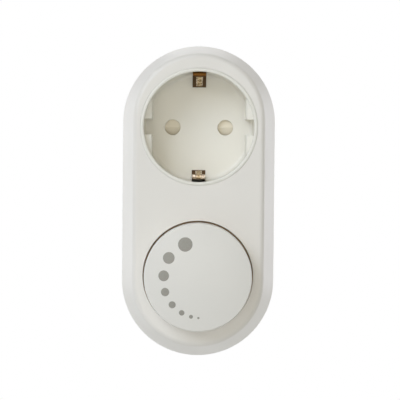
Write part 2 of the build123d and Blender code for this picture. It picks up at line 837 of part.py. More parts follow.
def fuse():
    """A round plug-in fuse."""
    body = Cylinder(fuse_radius, fuse_height, align=(Align.CENTER, Align.CENTER, Align.MIN))
    body = fillet(body.faces().sort_by(Axis.Z)[-1].edges(), electrolytic_round)
    return on_board(left_inset - board_radius, foot_screw_y + fuse_rise) * body


def choke_core():
    """The choke's ferrite drum."""
    top = choke_height - choke_flange
    drum = turned((
        (0, 0), (choke_flange_radius, 0), (choke_flange_radius, choke_flange),
        (choke_core_radius, choke_flange), (choke_core_radius, top), (choke_flange_radius, top),
        (choke_flange_radius, choke_height), (0, choke_height),
    ))
    return on_board(left_inset - board_radius, knob_y + choke_rise) * drum


def choke_winding():
    """The layers of wire between the drum's flanges."""
    low, high = choke_flange, choke_height - choke_flange
    layers = cylinder(choke_winding_radius, low, high) - cylinder(choke_core_radius, low, high)
    return on_board(left_inset - board_radius, knob_y + choke_rise) * layers


def varistor():
    """A surge-limiting disc that stands on its edge."""
    disc = Rot(Y=90) * Cylinder(varistor_radius, varistor_thickness)
    disc = fillet(disc.edges().filter_by(GeomType.CIRCLE), varistor_round)
    return on_board(board_radius - varistor_inset, knob_y + varistor_rise) * Pos(Z=varistor_radius) * disc


def control_chip():
    """The controller, a small moulded package."""
    package = Box(*chip_size, align=(Align.CENTER, Align.CENTER, Align.MIN))
    return on_board(board_radius - chip_inset, knob_y + chip_rise) * package


def resistors():
    """A row of axial resistors that lie on the board."""
    body = Pos(Z=resistor_radius) * Rot(X=90) * Cylinder(resistor_radius, resistor_length)
    first = resistor_inset - board_radius
    y = knob_y + resistor_rise
    return Compound([on_board(first + resistor_spacing * index, y) * body for index in range(resistor_count)])


def case_screws():
    """Four pan-head screws that hold the two halves together."""
    screws = []
    for x, y in screw_places:
        head = cylinder(screw_head_radius, screw_seat - screw_head_height, screw_seat, x, y)
        screws.append(head + cylinder(screw_radius, screw_seat, screw_tip, x, y))
    return Compound(screws)


pieces = {
    "front_shell": front_shell(),
    "rear_shell": rear_shell(),
    "socket_insert": socket_insert(),
    "shutter_slider": shutter_slider(),
    "shutter_spring": shutter_spring(),
    "contact_base": contact_base(),
    "live_contact": contact(-pin_x, -switched_bar_lane),
    "neutral_contact": contact(pin_x, pin_x),
    "live_pin": plug_pin(-pin_x, live_bar_height - bar_thickness / 2),
    "neutral_pin": plug_pin(pin_x, base_back - bar_thickness),
    "live_bar": live_bar(),
    "earth_clips": earth_clips(),
    "earth_strips": earth_strips(),
    "earth_rivet": earth_rivet(),
    "knob": knob(),
    "control_shaft": control_shaft(),
    "potentiometer_can": potentiometer_can(),
    "potentiometer_nut": potentiometer_nut(),
    "wiper": wiper(),
    "resistance_track": resistance_track(),
    "terminal_lugs": terminal_lugs(),
    "switch_case": switch_case(),
    "switch_plunger": switch_plunger(),
    "switch_spring": switch_spring(),
    "circuit_board": circuit_board(),
    "heat_sink": heat_sink(),
    "transistor_pads": on_heat_sink(0, pad_thickness),
    "power_transistors": on_heat_sink(pad_thickness, pad_thickness + transistor_thickness),
    "film_capacitor": film_capacitor(),
    "electrolytic_capacitor": electrolytic_capacitor(),
    "fuse": fuse(),
    "choke_core": choke_core(),
    "choke_winding": choke_winding(),
    "varistor": varistor(),
    "control_chip": control_chip(),
    "resistors": resistors(),
    "case_screws": case_screws(),
}

os.makedirs("parts", exist_ok=True)
for name, piece in pieces.items():
    save(name, piece)
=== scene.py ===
# %% [markdown]
# # A plug-in dimmer for LED lamps
#
# The real object is a stadium-shaped box of off-white plastic. A plug on its back
# holds it in a wall socket, a socket on its front takes the lamp's plug, and a large
# knob below that socket turns for brightness and presses for on and off.
#
# The solid pieces come from a CAD model. This lesson gives them their finishes, adds
# the small things that CAD leaves out, and lights and frames the whole like a plain
# product photograph.

# %% Load the CAD model
import json
import math

import bmesh
import bpy
from mathutils import Matrix, Vector


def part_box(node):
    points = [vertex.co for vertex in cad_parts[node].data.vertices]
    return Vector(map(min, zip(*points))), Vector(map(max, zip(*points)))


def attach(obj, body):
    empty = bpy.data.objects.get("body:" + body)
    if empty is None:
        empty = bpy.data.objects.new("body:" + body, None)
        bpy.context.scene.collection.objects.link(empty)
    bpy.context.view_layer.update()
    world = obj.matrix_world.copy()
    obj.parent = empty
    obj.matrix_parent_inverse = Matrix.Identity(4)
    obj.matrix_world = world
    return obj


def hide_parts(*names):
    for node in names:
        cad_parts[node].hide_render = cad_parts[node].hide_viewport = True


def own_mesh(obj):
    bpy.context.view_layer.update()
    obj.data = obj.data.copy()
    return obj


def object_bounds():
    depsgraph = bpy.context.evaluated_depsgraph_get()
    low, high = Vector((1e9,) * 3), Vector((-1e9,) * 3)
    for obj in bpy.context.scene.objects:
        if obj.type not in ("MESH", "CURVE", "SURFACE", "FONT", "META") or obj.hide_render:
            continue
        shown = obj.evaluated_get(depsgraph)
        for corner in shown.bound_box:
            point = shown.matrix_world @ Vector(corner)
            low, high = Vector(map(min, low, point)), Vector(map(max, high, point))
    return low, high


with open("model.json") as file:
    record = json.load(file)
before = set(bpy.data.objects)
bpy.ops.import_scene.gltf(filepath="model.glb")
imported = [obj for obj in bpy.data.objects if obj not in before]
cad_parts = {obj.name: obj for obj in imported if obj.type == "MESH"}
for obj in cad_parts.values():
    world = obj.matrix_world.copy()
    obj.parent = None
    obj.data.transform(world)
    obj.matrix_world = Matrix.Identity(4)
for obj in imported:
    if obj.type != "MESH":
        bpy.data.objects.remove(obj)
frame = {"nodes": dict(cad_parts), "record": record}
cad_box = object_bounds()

MM = 0.001

# %% [markdown]
# ## The camera
#
# The picture was taken from about 65 cm with a long lens, nearly square on. The
# socket's floor shows how nearly: its centre sits a little off the rim's centre. The
# camera is four centimetres above the knob's middle, looks down by a degree and a half,
# and is turned half a degree about its own axis, so the object leans a little to the
# right.

# %% Camera
camera_place = (-0.0023, -0.6975, -0.0099)
look_up = math.radians(90 - 1.40)
look_right = math.radians(-0.25)
roll = math.radians(0.53)

camera_data = bpy.data.cameras.new("camera")
camera_data.sensor_width = 36.0
camera_data.lens = 166.0
camera = bpy.data.objects.new("camera", camera_data)
bpy.context.scene.collection.objects.link(camera)
bpy.context.scene.camera = camera
bpy.context.scene.view_settings.view_transform = "Standard"

aim = Matrix.Rotation(look_right, 4, "Z") @ Matrix.Rotation(look_up, 4, "X")
aimed_camera = Matrix.Translation(camera_place) @ aim
camera.matrix_world = aimed_camera @ Matrix.Rotation(roll, 4, "Z")
print("camera stands at", [round(value, 4) for value in camera.location])

# %% [markdown]
# ## Nodes from code
#
# Every finish below is a small graph of shader nodes. One function adds a node of any
# kind, sets what belongs to the node itself, and fills or links its inputs. A colour
# is written as the hex value that a screen shows and turned to the linear numbers
# that a renderer works with.

# %% One way to add a node, and one way to write a colour
def add(tree, kind, inputs=None, **settings):
    """Adds a node, sets its own settings, and gives its inputs a value or a link."""
    made = tree.nodes.new(kind)
    for name, value in settings.items():
        setattr(made, name, value)
    for name, value in (inputs or {}).items():
        if isinstance(value, bpy.types.NodeSocket):
            tree.links.new(value, made.inputs[name])
        else:
            made.inputs[name].default_value = value
    return made


def colour(code):
    """Linear colour, with alpha, from a hex value such as DCDBD5."""
    linear = []
    for at in (0, 2, 4):
        shown = int(code[at:at + 2], 16) / 255
        linear.append(shown / 12.92 if shown <= 0.04045 else ((shown + 0.055) / 1.055) ** 2.4)
    return (*linear, 1.0)


print("mid grey 808080 is", round(colour("808080")[0], 3), "in linear light")

# %% [markdown]
# ## Stage and light
#
# A product picture of a white object wants a white surround and broad soft light. The
# key light comes from the upper left and the front, so the recess is dark at its upper
# left and bright at its lower right. A weak lamp in front opens the shadows. Three more
# stand behind, above and on both sides, and graze the flared band, which is paler than
# the face on the real one. The surround is white only for the camera and for
# reflections. The light that it gives the object is a little warm and comes from the
# front, as light that a room gives back does.

# %% World: a white surround that lights the object gently
front_strength = 0.39
world = bpy.data.worlds.new("white_surround")
bpy.context.scene.world = world
world.use_nodes = True
sky = world.node_tree
sky.nodes.clear()
sky_ray = add(sky, "ShaderNodeLightPath").outputs
seen_directly = add(sky, "ShaderNodeMath", {
    0: sky_ray["Is Camera Ray"], 1: sky_ray["Is Glossy Ray"]}, operation="MAXIMUM")
seen = add(sky, "ShaderNodeMath", {
    0: seen_directly.outputs[0], 1: sky_ray["Is Transmission Ray"]}, operation="MAXIMUM")
directions = add(sky, "ShaderNodeTexCoord").outputs["Generated"]
heading = add(sky, "ShaderNodeSeparateXYZ", {0: directions})
level = add(sky, "ShaderNodeMapRange", {
    "Value": heading.outputs["Y"], "From Min": -1.0, "From Max": 1.0,
    "To Min": front_strength, "To Max": 0.0})
surround_light = add(sky, "ShaderNodeBackground", {
    "Color": colour("FFFDF1"), "Strength": level.outputs[0]})
surround_seen = add(sky, "ShaderNodeBackground", {"Color": colour("FFFFFF"), "Strength": 1.0})
chosen = add(sky, "ShaderNodeMixShader", {
    0: seen.outputs[0], 1: surround_light.outputs[0], 2: surround_seen.outputs[0]})
add(sky, "ShaderNodeOutputWorld", {"Surface": chosen.outputs[0]})
print("surround strength:", front_strength, "in front, none behind, 1 for the camera")

# %% Lamps: one strong softbox at the upper left and four weak ones
softbox_size = 0.9
softbox_target = Vector((0, -0.04, -0.03))


def softbox(name, place, power, code="FFFFFF"):
    """A square area lamp that faces the dimmer. Its place is in metres, its power in watts."""
    data = bpy.data.lights.new(name, "AREA")
    data.shape = "SQUARE"
    data.size = softbox_size
    data.energy = power
    data.color = colour(code)[:3]
    lamp = bpy.data.objects.new(name, data)
    bpy.context.scene.collection.objects.link(lamp)
    facing = (softbox_target - Vector(place)).to_track_quat("-Z", "Y")
    lamp.matrix_world = Matrix.Translation(place) @ facing.to_matrix().to_4x4()


softbox("key_softbox", (-0.80, -1.17, 0.77), 11.2, "E5EFFF")
softbox("front_softbox", (0, -1.64, 0.05), 3.7, "FFF8E6")
softbox("back_top_softbox", (0, 1.09, 1.10), 3.0)
softbox("back_left_softbox", (-1.27, 0.92, 0.13), 3.8)
softbox("back_right_softbox", (1.27, 0.92, 0.13), 6.1, "F4F6FF")

# %% [markdown]
# ## The floor
#
# The dimmer hangs in its wall socket, so the floor is well below it. It is pale and
# matt and takes the soft shadow. The camera and reflections see it lifted until it is
# just white, as the paper in such a picture is: the shadow still shows, and the flared
# band is pale at its low end too. It ends half a metre behind the dimmer, where the
# white surround takes over, so no horizon crosses the picture.

# %% Floor
reach, back_edge = 1.6, 0.5
below = cad_box[0].z - 0.12
floor_mesh = bpy.data.meshes.new("floor")
corners = [
    (-reach, -reach, below), (reach, -reach, below),
    (reach, back_edge, below), (-reach, back_edge, below)]
floor_mesh.from_pydata(corners, [], [(0, 1, 2, 3)])
floor = bpy.data.objects.new("floor", floor_mesh)
bpy.context.scene.collection.objects.link(floor)

camera_lift, reflection_lift = 0.53, 0.65
floor_paint = bpy.data.materials.new("matt_white_floor")
floor_paint.use_nodes = True
paint = floor_paint.node_tree
paint.nodes.clear()
floor_ray = add(paint, "ShaderNodeLightPath").outputs
lift_seen = add(paint, "ShaderNodeMath", {
    0: floor_ray["Is Camera Ray"], 1: camera_lift}, operation="MULTIPLY")
lift_mirrored = add(paint, "ShaderNodeMath", {
    0: floor_ray["Is Glossy Ray"], 1: reflection_lift}, operation="MULTIPLY")
lift = add(paint, "ShaderNodeMath", {
    0: lift_seen.outputs[0], 1: lift_mirrored.outputs[0]}, operation="MAXIMUM")
matt = add(paint, "ShaderNodeBsdfDiffuse", {"Color": colour("F4F4F2")})
glow = add(paint, "ShaderNodeEmission", {
    "Color": colour("FFFFFF"), "Strength": lift.outputs[0]})
both = add(paint, "ShaderNodeAddShader", {0: matt.outputs[0], 1: glow.outputs[0]})
add(paint, "ShaderNodeOutputMaterial", {"Surface": both.outputs[0]})
floor_mesh.materials.append(floor_paint)
print("floor lies", round(below / MM), "mm from the plug's axis")

# %% [markdown]
# ## Moulded plastic
#
# The housing, the knob, the shutter and the small cases are injection-moulded. A mould
# for such a housing is spark-eroded, which leaves a fine even grain and a satin gloss
# that drifts a little where the melt flowed. The grain of the real one, about 0.05 mm,
# is too fine to show, so it is drawn at 0.6 mm and kept very shallow. A bevel node
# rounds the look of edges that the mould leaves 0.2 mm soft. Everything is worked out
# from object coordinates in metres, so a scale is one over a size.
#
# White plastic lets a little light through, and light that bounces between its walls
# turns warm, so the narrow gap round the knob looks brown. That brown is painted shade:
# the housing and the knob have a warm brown colour inside that gap.
#
# The knob's front is a shallow dome. Its mesh pinches at the apex, which would show in
# the gloss, so the normal of the ball that the dome is part of takes over there.

# %% The knob and its dome, in mm
dome_rise, dome_edge = 1.9, 18.9
knob_low, knob_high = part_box("knob")
knob_middle = (knob_low + knob_high) / 2
dome_radius = (dome_edge**2 + dome_rise**2) / (2 * dome_rise)
ball_centre = Vector((knob_middle.x, knob_low.y + dome_radius * MM, knob_middle.z))
print("the dome is part of a ball with a radius of", round(dome_radius), "mm")

# %% Where the gap round the knob gets its painted shade, in mm from the knob's axis and from the face
gap_middle, gap_reach = 19.2, 0.55
gap_depth, gap_depth_reach = 5.5, 5.0
knob_axis = (knob_middle.x, 0, knob_middle.z)
face_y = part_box("front_shell")[0].y


def off_axis(tree, place):
    """The distance from the knob's axis, and the depth along it."""
    axes = add(tree, "ShaderNodeSeparateXYZ", {0: place})
    flat = add(tree, "ShaderNodeCombineXYZ", {"X": axes.outputs["X"], "Z": axes.outputs["Z"]})
    away = add(tree, "ShaderNodeVectorMath", {0: flat.outputs[0], 1: knob_axis},
               operation="DISTANCE")
    return away.outputs["Value"], axes.outputs["Y"]


def gap_shade_mask(tree, place):
    """A mask for the painted shade: 1 inside the gap between the knob and its well, 0
    elsewhere.
    """
    away, depth = off_axis(tree, place)
    ring = add(tree, "ShaderNodeMath", {
        0: away, 1: gap_middle * MM, 2: gap_reach * MM}, operation="COMPARE")
    deep = add(tree, "ShaderNodeMath", {
        0: depth, 1: face_y + gap_depth * MM, 2: gap_depth_reach * MM}, operation="COMPARE")
    inside = add(tree, "ShaderNodeMath", {
        0: ring.outputs[0], 1: deep.outputs[0]}, operation="MULTIPLY")
    return inside.outputs[0]


print("the gap's colour lies", round(gap_middle - gap_reach, 2), "to",
      round(gap_middle + gap_reach, 2), "mm from the knob's axis")


# %% The dome's apex, in mm from the knob's axis and behind its front
calm_inside, calm_outside, calm_depth = 3.5, 5.0, 1.0


def calm_apex(tree, place, normal):
    """Uses the ball's own normal near the dome's apex, where the mesh pinches."""
    away, depth = off_axis(tree, place)
    near = add(tree, "ShaderNodeMapRange", {
        "Value": away, "From Min": calm_outside * MM, "From Max": calm_inside * MM})
    front = add(tree, "ShaderNodeMath", {
        0: depth, 1: knob_low.y + calm_depth * MM}, operation="LESS_THAN")
    share = add(tree, "ShaderNodeMath", {
        0: near.outputs[0], 1: front.outputs[0]}, operation="MULTIPLY")
    outwards = add(tree, "ShaderNodeVectorMath", {
        0: place, 1: ball_centre}, operation="SUBTRACT")
    turned_out = add(tree, "ShaderNodeVectorTransform", {0: outwards.outputs[0]},
                     vector_type="NORMAL", convert_from="OBJECT", convert_to="WORLD")
    unit = add(tree, "ShaderNodeVectorMath", {0: turned_out.outputs[0]},
               operation="NORMALIZE")
    mixed = add(tree, "ShaderNodeMix", {
        0: share.outputs[0], 4: normal, 5: unit.outputs[0]}, data_type="VECTOR")
    return mixed.outputs[1]


print("the ball's own normal holds within", calm_inside, "mm of the knob's axis")


# %% A finish for moulded plastic
flow_size, plastic_drift, plastic_ior = 14, 0.04, 1.53


def finish(name):
    """A new material with an empty node tree, and its object coordinates."""
    made = bpy.data.materials.new(name)
    made.use_nodes = True
    made.node_tree.nodes.clear()
    return made, made.node_tree, add(made.node_tree, "ShaderNodeTexCoord").outputs["Object"]


def moulded(name, code, roughness, grain=0.6, relief=0.006, edge=0.2, gap="", dome=False,
            mottle=0.96):
    """Injection-moulded plastic: fine grain, drifting gloss, slightly soft edges."""
    made, tree, place = finish(name)
    flow = add(tree, "ShaderNodeTexNoise", {
        "Vector": place, "Scale": 1 / (flow_size * MM), "Detail": 3.0})
    gloss = add(tree, "ShaderNodeMapRange", {
        "Value": flow.outputs["Fac"], "From Min": 0.3, "From Max": 0.7,
        "To Min": roughness - plastic_drift, "To Max": roughness + plastic_drift})
    specks = add(tree, "ShaderNodeTexNoise", {
        "Vector": place, "Scale": 1 / (grain * MM), "Detail": 2.0})
    pale = colour(code)
    deeper = (*[value * mottle for value in pale[:3]], 1.0)
    uneven = add(tree, "ShaderNodeMath", {
        0: specks.outputs["Fac"], 1: flow.outputs["Fac"]}, operation="MULTIPLY")
    body = add(tree, "ShaderNodeMix", {
        "Factor": uneven.outputs[0], 6: pale, 7: deeper}, data_type="RGBA")
    # A gap colour is painted shade: warm brown inside the gap round the knob.
    if gap:
        body = add(tree, "ShaderNodeMix", {
            "Factor": gap_shade_mask(tree, place), 6: body.outputs[2], 7: colour(gap),
        }, data_type="RGBA")
    normal = add(tree, "ShaderNodeBevel", {"Radius": edge * MM}, samples=4).outputs[0]
    if dome:
        normal = calm_apex(tree, place, normal)
    bumps = add(tree, "ShaderNodeBump", {
        "Height": specks.outputs["Fac"], "Distance": relief * MM, "Normal": normal})
    shader = add(tree, "ShaderNodeBsdfPrincipled", {
        "Base Color": body.outputs[2], "Roughness": gloss.outputs[0], "IOR": plastic_ior,
        "Normal": bumps.outputs[0]})
    add(tree, "ShaderNodeOutputMaterial", {"Surface": shader.outputs[0]})
    return made


# Painted shade: the warm brown that bounced light gives the gap round the knob.
painted_gap_shade = "FCD9A6"
housing_white = moulded("satin_abs_housing", "F2EEE7", 0.36, gap=painted_gap_shade)
insert_cream = moulded("satin_abs_insert", "F3F0E6", 0.36)
knob_white = moulded("satin_abs_knob", "EFECE5", 0.34, gap=painted_gap_shade, dome=True)
shutter_beige = moulded("beige_polyamide_shutter", "F6EDD8", 0.5)
base_brown = moulded("brown_phenolic_base", "684A21", 0.55, relief=0.01)
case_black = moulded("black_polyamide_case", "1E1E20", 0.5, relief=0.01)
capacitor_yellow = moulded("yellow_polyester_case", "D9B243", 0.38)
print("plastics:", housing_white.name, knob_white.name, shutter_beige.name)

# %% [markdown]
# ## Sheet and turned metal
#
# The earth clips and contacts are stamped from brass strip, the pins are turned and
# nickel plated, the small steel parts are zinc plated. Rolled and drawn metal has
# fine streaks along its grain, and unplated brass browns in patches. One function makes
# them all: streaks come from noise that is stretched along one axis, and the brown is a
# second colour that comes in patches.
#
# The earth clips are pale brass with small dark patches. Away from their middle line
# they have a paler colour, a painted highlight, and the top one has brown painted shade
# all over where it bends round.

# %% A finish for metal
# Where the painted highlight on the clips begins and where it is full, in mm from the middle
# line
highlight_starts, highlight_ends = 0.5, 0.9
patch_starts, patch_full = 0.35, 0.65
metal_drift, metal_relief, metal_edge = 0.08, 0.004, 0.1


def worked_metal(name, code, roughness, streak=(0.12, 2.5, 0.12), tarnish_and_crest_shade="", amount=0.0,
                 painted_highlight="", painted_crest_shade=None, patch=3):
    """Rolled or drawn metal. Streaks have sizes along X, Y and Z; brown comes in patches.
    A painted highlight is a paler colour away from the middle. Painted shade in the brown
    begins at one height and is full at a second, over a bend. All sizes are in mm."""
    made, tree, place = finish(name)
    stretched = add(tree, "ShaderNodeMapping", {
        "Vector": place, "Scale": [1 / (size * MM) for size in streak]})
    lines = add(tree, "ShaderNodeTexNoise", {
        "Vector": stretched.outputs[0], "Scale": 1.0, "Detail": 2.0})
    blotches = add(tree, "ShaderNodeTexNoise", {
        "Vector": place, "Scale": 1 / (patch * MM), "Detail": 4.0})
    browned = add(tree, "ShaderNodeMapRange", {
        "Value": blotches.outputs["Fac"], "From Min": patch_starts, "From Max": patch_full,
        "To Max": amount})
    axes = add(tree, "ShaderNodeSeparateXYZ", {0: place})
    bare_with_highlight = colour(code)
    # Away from the middle line a paler colour is painted: a painted highlight on the strip's
    # bent sides.
    if painted_highlight:
        aside = add(tree, "ShaderNodeMath", {0: axes.outputs["X"]}, operation="ABSOLUTE")
        beyond = add(tree, "ShaderNodeMapRange", {
            "Value": aside.outputs[0], "From Min": highlight_starts * MM, "From Max": highlight_ends * MM})
        bare_with_highlight = add(tree, "ShaderNodeMix", {
            "Factor": beyond.outputs[0], 6: bare_with_highlight, 7: colour(painted_highlight),
        }, data_type="RGBA").outputs[2]
    shade = add(tree, "ShaderNodeMix", {
        "Factor": browned.outputs[0], 6: bare_with_highlight, 7: colour(tarnish_and_crest_shade or code)}, data_type="RGBA")
    # Above a given height the brown colour is painted shade: the top clip's bend lies in the
    # rim's shadow.
    if painted_crest_shade:
        height = add(tree, "ShaderNodeMapRange", {
            "Value": axes.outputs["Z"], "From Min": painted_crest_shade[0] * MM, "From Max": painted_crest_shade[1] * MM})
        shade = add(tree, "ShaderNodeMix", {
            "Factor": height.outputs[0], 6: shade.outputs[2], 7: colour(tarnish_and_crest_shade),
        }, data_type="RGBA")
    gloss = add(tree, "ShaderNodeMapRange", {
        "Value": lines.outputs["Fac"], "From Min": 0.3, "From Max": 0.7,
        "To Min": roughness - metal_drift, "To Max": roughness + metal_drift})
    soft_edge = add(tree, "ShaderNodeBevel", {"Radius": metal_edge * MM}, samples=4)
    bumps = add(tree, "ShaderNodeBump", {
        "Height": lines.outputs["Fac"], "Distance": metal_relief * MM,
        "Normal": soft_edge.outputs[0]})
    shader = add(tree, "ShaderNodeBsdfPrincipled", {
        "Base Color": shade.outputs[2], "Roughness": gloss.outputs[0], "Metallic": 1.0,
        "Normal": bumps.outputs[0]})
    add(tree, "ShaderNodeOutputMaterial", {"Surface": shader.outputs[0]})
    return made


contact_brass = worked_metal(
    "stamped_brass_contact", "C6A468", 0.32, tarnish_and_crest_shade="8A6234", amount=0.3)
# The clip's paler sides are a painted highlight and its brown top bend is painted shade; the
# small dark patches are tarnished brass.
clip_brass = worked_metal(
    "brass_clip_tarnish_and_painted_light", "E8D4AE", 0.5, (0.12, 0.6, 2.5), tarnish_and_crest_shade="6E4A22", amount=0.85,
    painted_highlight="FAEEDA", painted_crest_shade=(17.5, 17.75), patch=0.8)
plated_nickel = worked_metal(
    "bright_nickel_plate", "D2CEC6", 0.2, tarnish_and_crest_shade="A9A294", amount=0.25)
plated_zinc = worked_metal(
    "bright_zinc_plate", "B8BABC", 0.34, (0.3, 0.3, 0.3), tarnish_and_crest_shade="8F9196", amount=0.4)
spring_steel = worked_metal("drawn_spring_steel", "A5A7AA", 0.28)
mill_aluminium = worked_metal(
    "rolled_aluminium", "C8CACC", 0.4, (2.5, 0.12, 0.12), tarnish_and_crest_shade="A9ABAE", amount=0.3)
print("metals:", contact_brass.name, clip_brass.name, plated_nickel.name, plated_zinc.name)

# %% [markdown]
# ## Electronics
#
# The parts on the circuit board hide in the closed housing, but someone may open it,
# so each has its own look: green solder mask over copper tracks, a ferrite drum with
# turns of enamelled wire, a glossy dipped varistor and banded resistors.

# %% Solder mask with tracks
track_pitch, track_width, track_block, track_relief = 1.27, 0.5, 7, 0.035
mask_roughness, mask_ior = 0.3, 1.5


def solder_mask(name):
    """Green lacquer over copper tracks that run in blocks, across or along the board."""
    made, tree, place = finish(name)
    axes = add(tree, "ShaderNodeSeparateXYZ", {0: place})
    blocks = add(tree, "ShaderNodeTexVoronoi", {
        "Vector": place, "Scale": 1 / (track_block * MM)})
    side = add(tree, "ShaderNodeSeparateColor", {0: blocks.outputs["Color"]})
    lies_along = add(tree, "ShaderNodeMath", {
        0: side.outputs[0], 1: 0.5}, operation="GREATER_THAN")
    run = add(tree, "ShaderNodeMix", {
        0: lies_along.outputs[0], 2: axes.outputs["X"], 3: axes.outputs["Z"]})
    pitch = add(tree, "ShaderNodeMath", {
        0: run.outputs[0], 1: track_pitch * MM, 2: 0.0}, operation="WRAP")
    track = add(tree, "ShaderNodeMath", {
        0: pitch.outputs[0], 1: track_width * MM}, operation="LESS_THAN")
    shade = add(tree, "ShaderNodeMix", {
        "Factor": track.outputs[0], 6: colour("17492D"), 7: colour("2C7347"),
    }, data_type="RGBA")
    bumps = add(tree, "ShaderNodeBump", {
        "Height": track.outputs[0], "Distance": track_relief * MM})
    shader = add(tree, "ShaderNodeBsdfPrincipled", {
        "Base Color": shade.outputs[2], "Roughness": mask_roughness, "IOR": mask_ior,
        "Normal": bumps.outputs[0]})
    add(tree, "ShaderNodeOutputMaterial", {"Surface": shader.outputs[0]})
    return made


board_green = solder_mask("green_solder_mask")
print("board finish:", board_green.name)


# %% Turns of wire, resistor bands and dipped coats
lacquer_grain, lacquer_drift = 0.4, 0.06


def banded(name, axis, start, size, rings, roughness, metallic=0.0, relief=0.0):
    """Rings of colour along one axis: rings are (share of the size, colour)."""
    made, tree, place = finish(name)
    axes = add(tree, "ShaderNodeSeparateXYZ", {0: place})
    run = add(tree, "ShaderNodeMapRange", {
        "Value": axes.outputs[axis], "From Min": start * MM, "From Max": (start + size) * MM,
    }, clamp=False)
    share = add(tree, "ShaderNodeMath", {0: run.outputs[0]}, operation="FRACT")
    ramp = add(tree, "ShaderNodeValToRGB", {0: share.outputs[0]})
    ramp.color_ramp.interpolation = "CONSTANT"
    while len(ramp.color_ramp.elements) < len(rings):
        ramp.color_ramp.elements.new(1.0)
    for element, (at, code) in zip(ramp.color_ramp.elements, rings):
        element.position = at
        element.color = colour(code)
    wave = add(tree, "ShaderNodeMath", {0: share.outputs[0], 1: 0.5}, operation="PINGPONG")
    grain = add(tree, "ShaderNodeTexNoise", {
        "Vector": place, "Scale": 1 / (lacquer_grain * MM), "Detail": 2.0})
    gloss = add(tree, "ShaderNodeMapRange", {
        "Value": grain.outputs["Fac"],
        "To Min": roughness - lacquer_drift, "To Max": roughness + lacquer_drift})
    bumps = add(tree, "ShaderNodeBump", {
        "Height": wave.outputs[0], "Distance": relief * MM})
    shader = add(tree, "ShaderNodeBsdfPrincipled", {
        "Base Color": ramp.outputs[0], "Roughness": gloss.outputs[0], "Metallic": metallic,
        "Normal": bumps.outputs[0]})
    add(tree, "ShaderNodeOutputMaterial", {"Surface": shader.outputs[0]})
    return made


resistor_length, wire_pitch = 6.4, 0.45
resistor_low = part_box("resistors")[0].z / MM
resistor_beige = banded("banded_resistor_lacquer", "Z", resistor_low, resistor_length, [
    (0.0, "CDB48A"), (0.18, "7A2E1E"), (0.28, "CDB48A"), (0.36, "2B2B2B"), (0.46, "CDB48A"),
    (0.54, "C46A22"), (0.64, "CDB48A"), (0.76, "B08A3C"), (0.86, "CDB48A")], 0.4)
# The darker copper at the edges of each turn is painted shade in the groove between turns.
winding_copper = banded("enamelled_copper_turns", "Y", 0.0, wire_pitch, [
    (0.0, "8E4E22"), (0.12, "B87333"), (0.88, "8E4E22")], 0.3, metallic=1.0, relief=0.2)
ferrite_black = moulded("sintered_ferrite", "242325", 0.6, grain=0.4, relief=0.02)
dipped_blue = moulded("dipped_epoxy_varistor", "234F95", 0.28, grain=1.2, relief=0.04)
pad_grey = moulded("silicone_pad", "8E949A", 0.6, grain=0.4, relief=0.01)
print("resistors start at", round(resistor_low, 1), "mm and are", resistor_length, "mm long")

# %% [markdown]
# ## A finish for every CAD piece
#
# The record names a material slot for each piece, and each slot gets its finish. The
# earth clips have one of their own, with a painted highlight and painted shade.
# So has the socket's insert, which is moulded from a slightly creamier batch.

# %% Finishes by slot
slots = {
    "housing_plastic": housing_white,
    "knob_plastic": knob_white,
    "shutter_plastic": shutter_beige,
    "insulator": base_brown,
    "contact_brass": contact_brass,
    "nickel_plate": plated_nickel,
    "zinc_steel": plated_zinc,
    "spring_steel": spring_steel,
    "black_plastic": case_black,
    "board": board_green,
    "heat_sink_aluminium": mill_aluminium,
    "pad_rubber": pad_grey,
    "capacitor_yellow": capacitor_yellow,
    "ferrite": ferrite_black,
    "copper_wire": winding_copper,
    "varistor_blue": dipped_blue,
    "resistor_beige": resistor_beige,
}
own_finish = {"earth_clips": clip_brass, "socket_insert": insert_cream}
for part in frame["record"]["subparts"]:
    look = own_finish.get(part["node"], slots[part["material_slot"]])
    for material_slot in frame["nodes"][part["node"]].material_slots:
        material_slot.material = look
print("finishes in use:", len(slots) + len(own_finish))

# %% [markdown]
# ## The level dots
#
# Eight grey dots are printed round the knob's front and grow with the brightness.
# They could be cut into the knob as a colour mask, but ink stands a hair above the
# plastic and has a crisp edge, so each dot is a thin disc. Geometry Nodes put one disc
# on each point of a small mesh, which carries the dots' diameters, and then press all
# of them onto the dome, whose shape is part of a ball.

# %% Where the dots sit: angle in degrees, distance from the axis and diameter in mm
dots = [
    (111.2, 12.5, 5.1), (146.2, 12.35, 4.15), (177.2, 12.0, 3.8), (204.1, 12.55, 2.95),
    (227.0, 13.1, 2.5), (245.8, 13.6, 1.95), (260.5, 13.95, 1.4), (271.2, 14.2, 0.8),
]
dot_points = []
for angle, distance, _ in dots:
    turn = math.radians(angle)
    x = ball_centre.x + distance * MM * math.cos(turn)
    z = ball_centre.z + distance * MM * math.sin(turn)
    dot_points.append((x, knob_low.y, z))
dot_mesh = bpy.data.meshes.new("dot_points")
dot_mesh.from_pydata(dot_points, [], [])
dot_sizes = dot_mesh.attributes.new("diameter", "FLOAT", "POINT")
for item, (_, _, diameter) in zip(dot_sizes.data, dots):
    item.value = diameter * MM
print(len(dot_points), "dots on the dome")

# %% [markdown]
# The ink is a warm grey with a matt surface. It is a little uneven, as pad printing is.

# %% Dot ink
ink = moulded("warm_grey_pad_print", "A8A49A", 0.5, grain=0.5, relief=0.003, edge=0.02,
              mottle=0.6)
print("ink finish:", ink.name)

# %% The tree that prints the dots
ink_height, disc_sides = 0.02, 48


def geometry_tree(name, inputs, result):
    """A new Geometry Nodes tree with its named inputs, given as kind and value."""
    tree = bpy.data.node_groups.new(name, "GeometryNodeTree")
    for label, (kind, value) in inputs.items():
        socket = tree.interface.new_socket(
            label, in_out="INPUT", socket_type="NodeSocket" + kind)
        if value is not None:
            socket.default_value = value
    tree.interface.new_socket(result, in_out="OUTPUT", socket_type="NodeSocketGeometry")
    return tree, add(tree, "NodeGroupInput").outputs


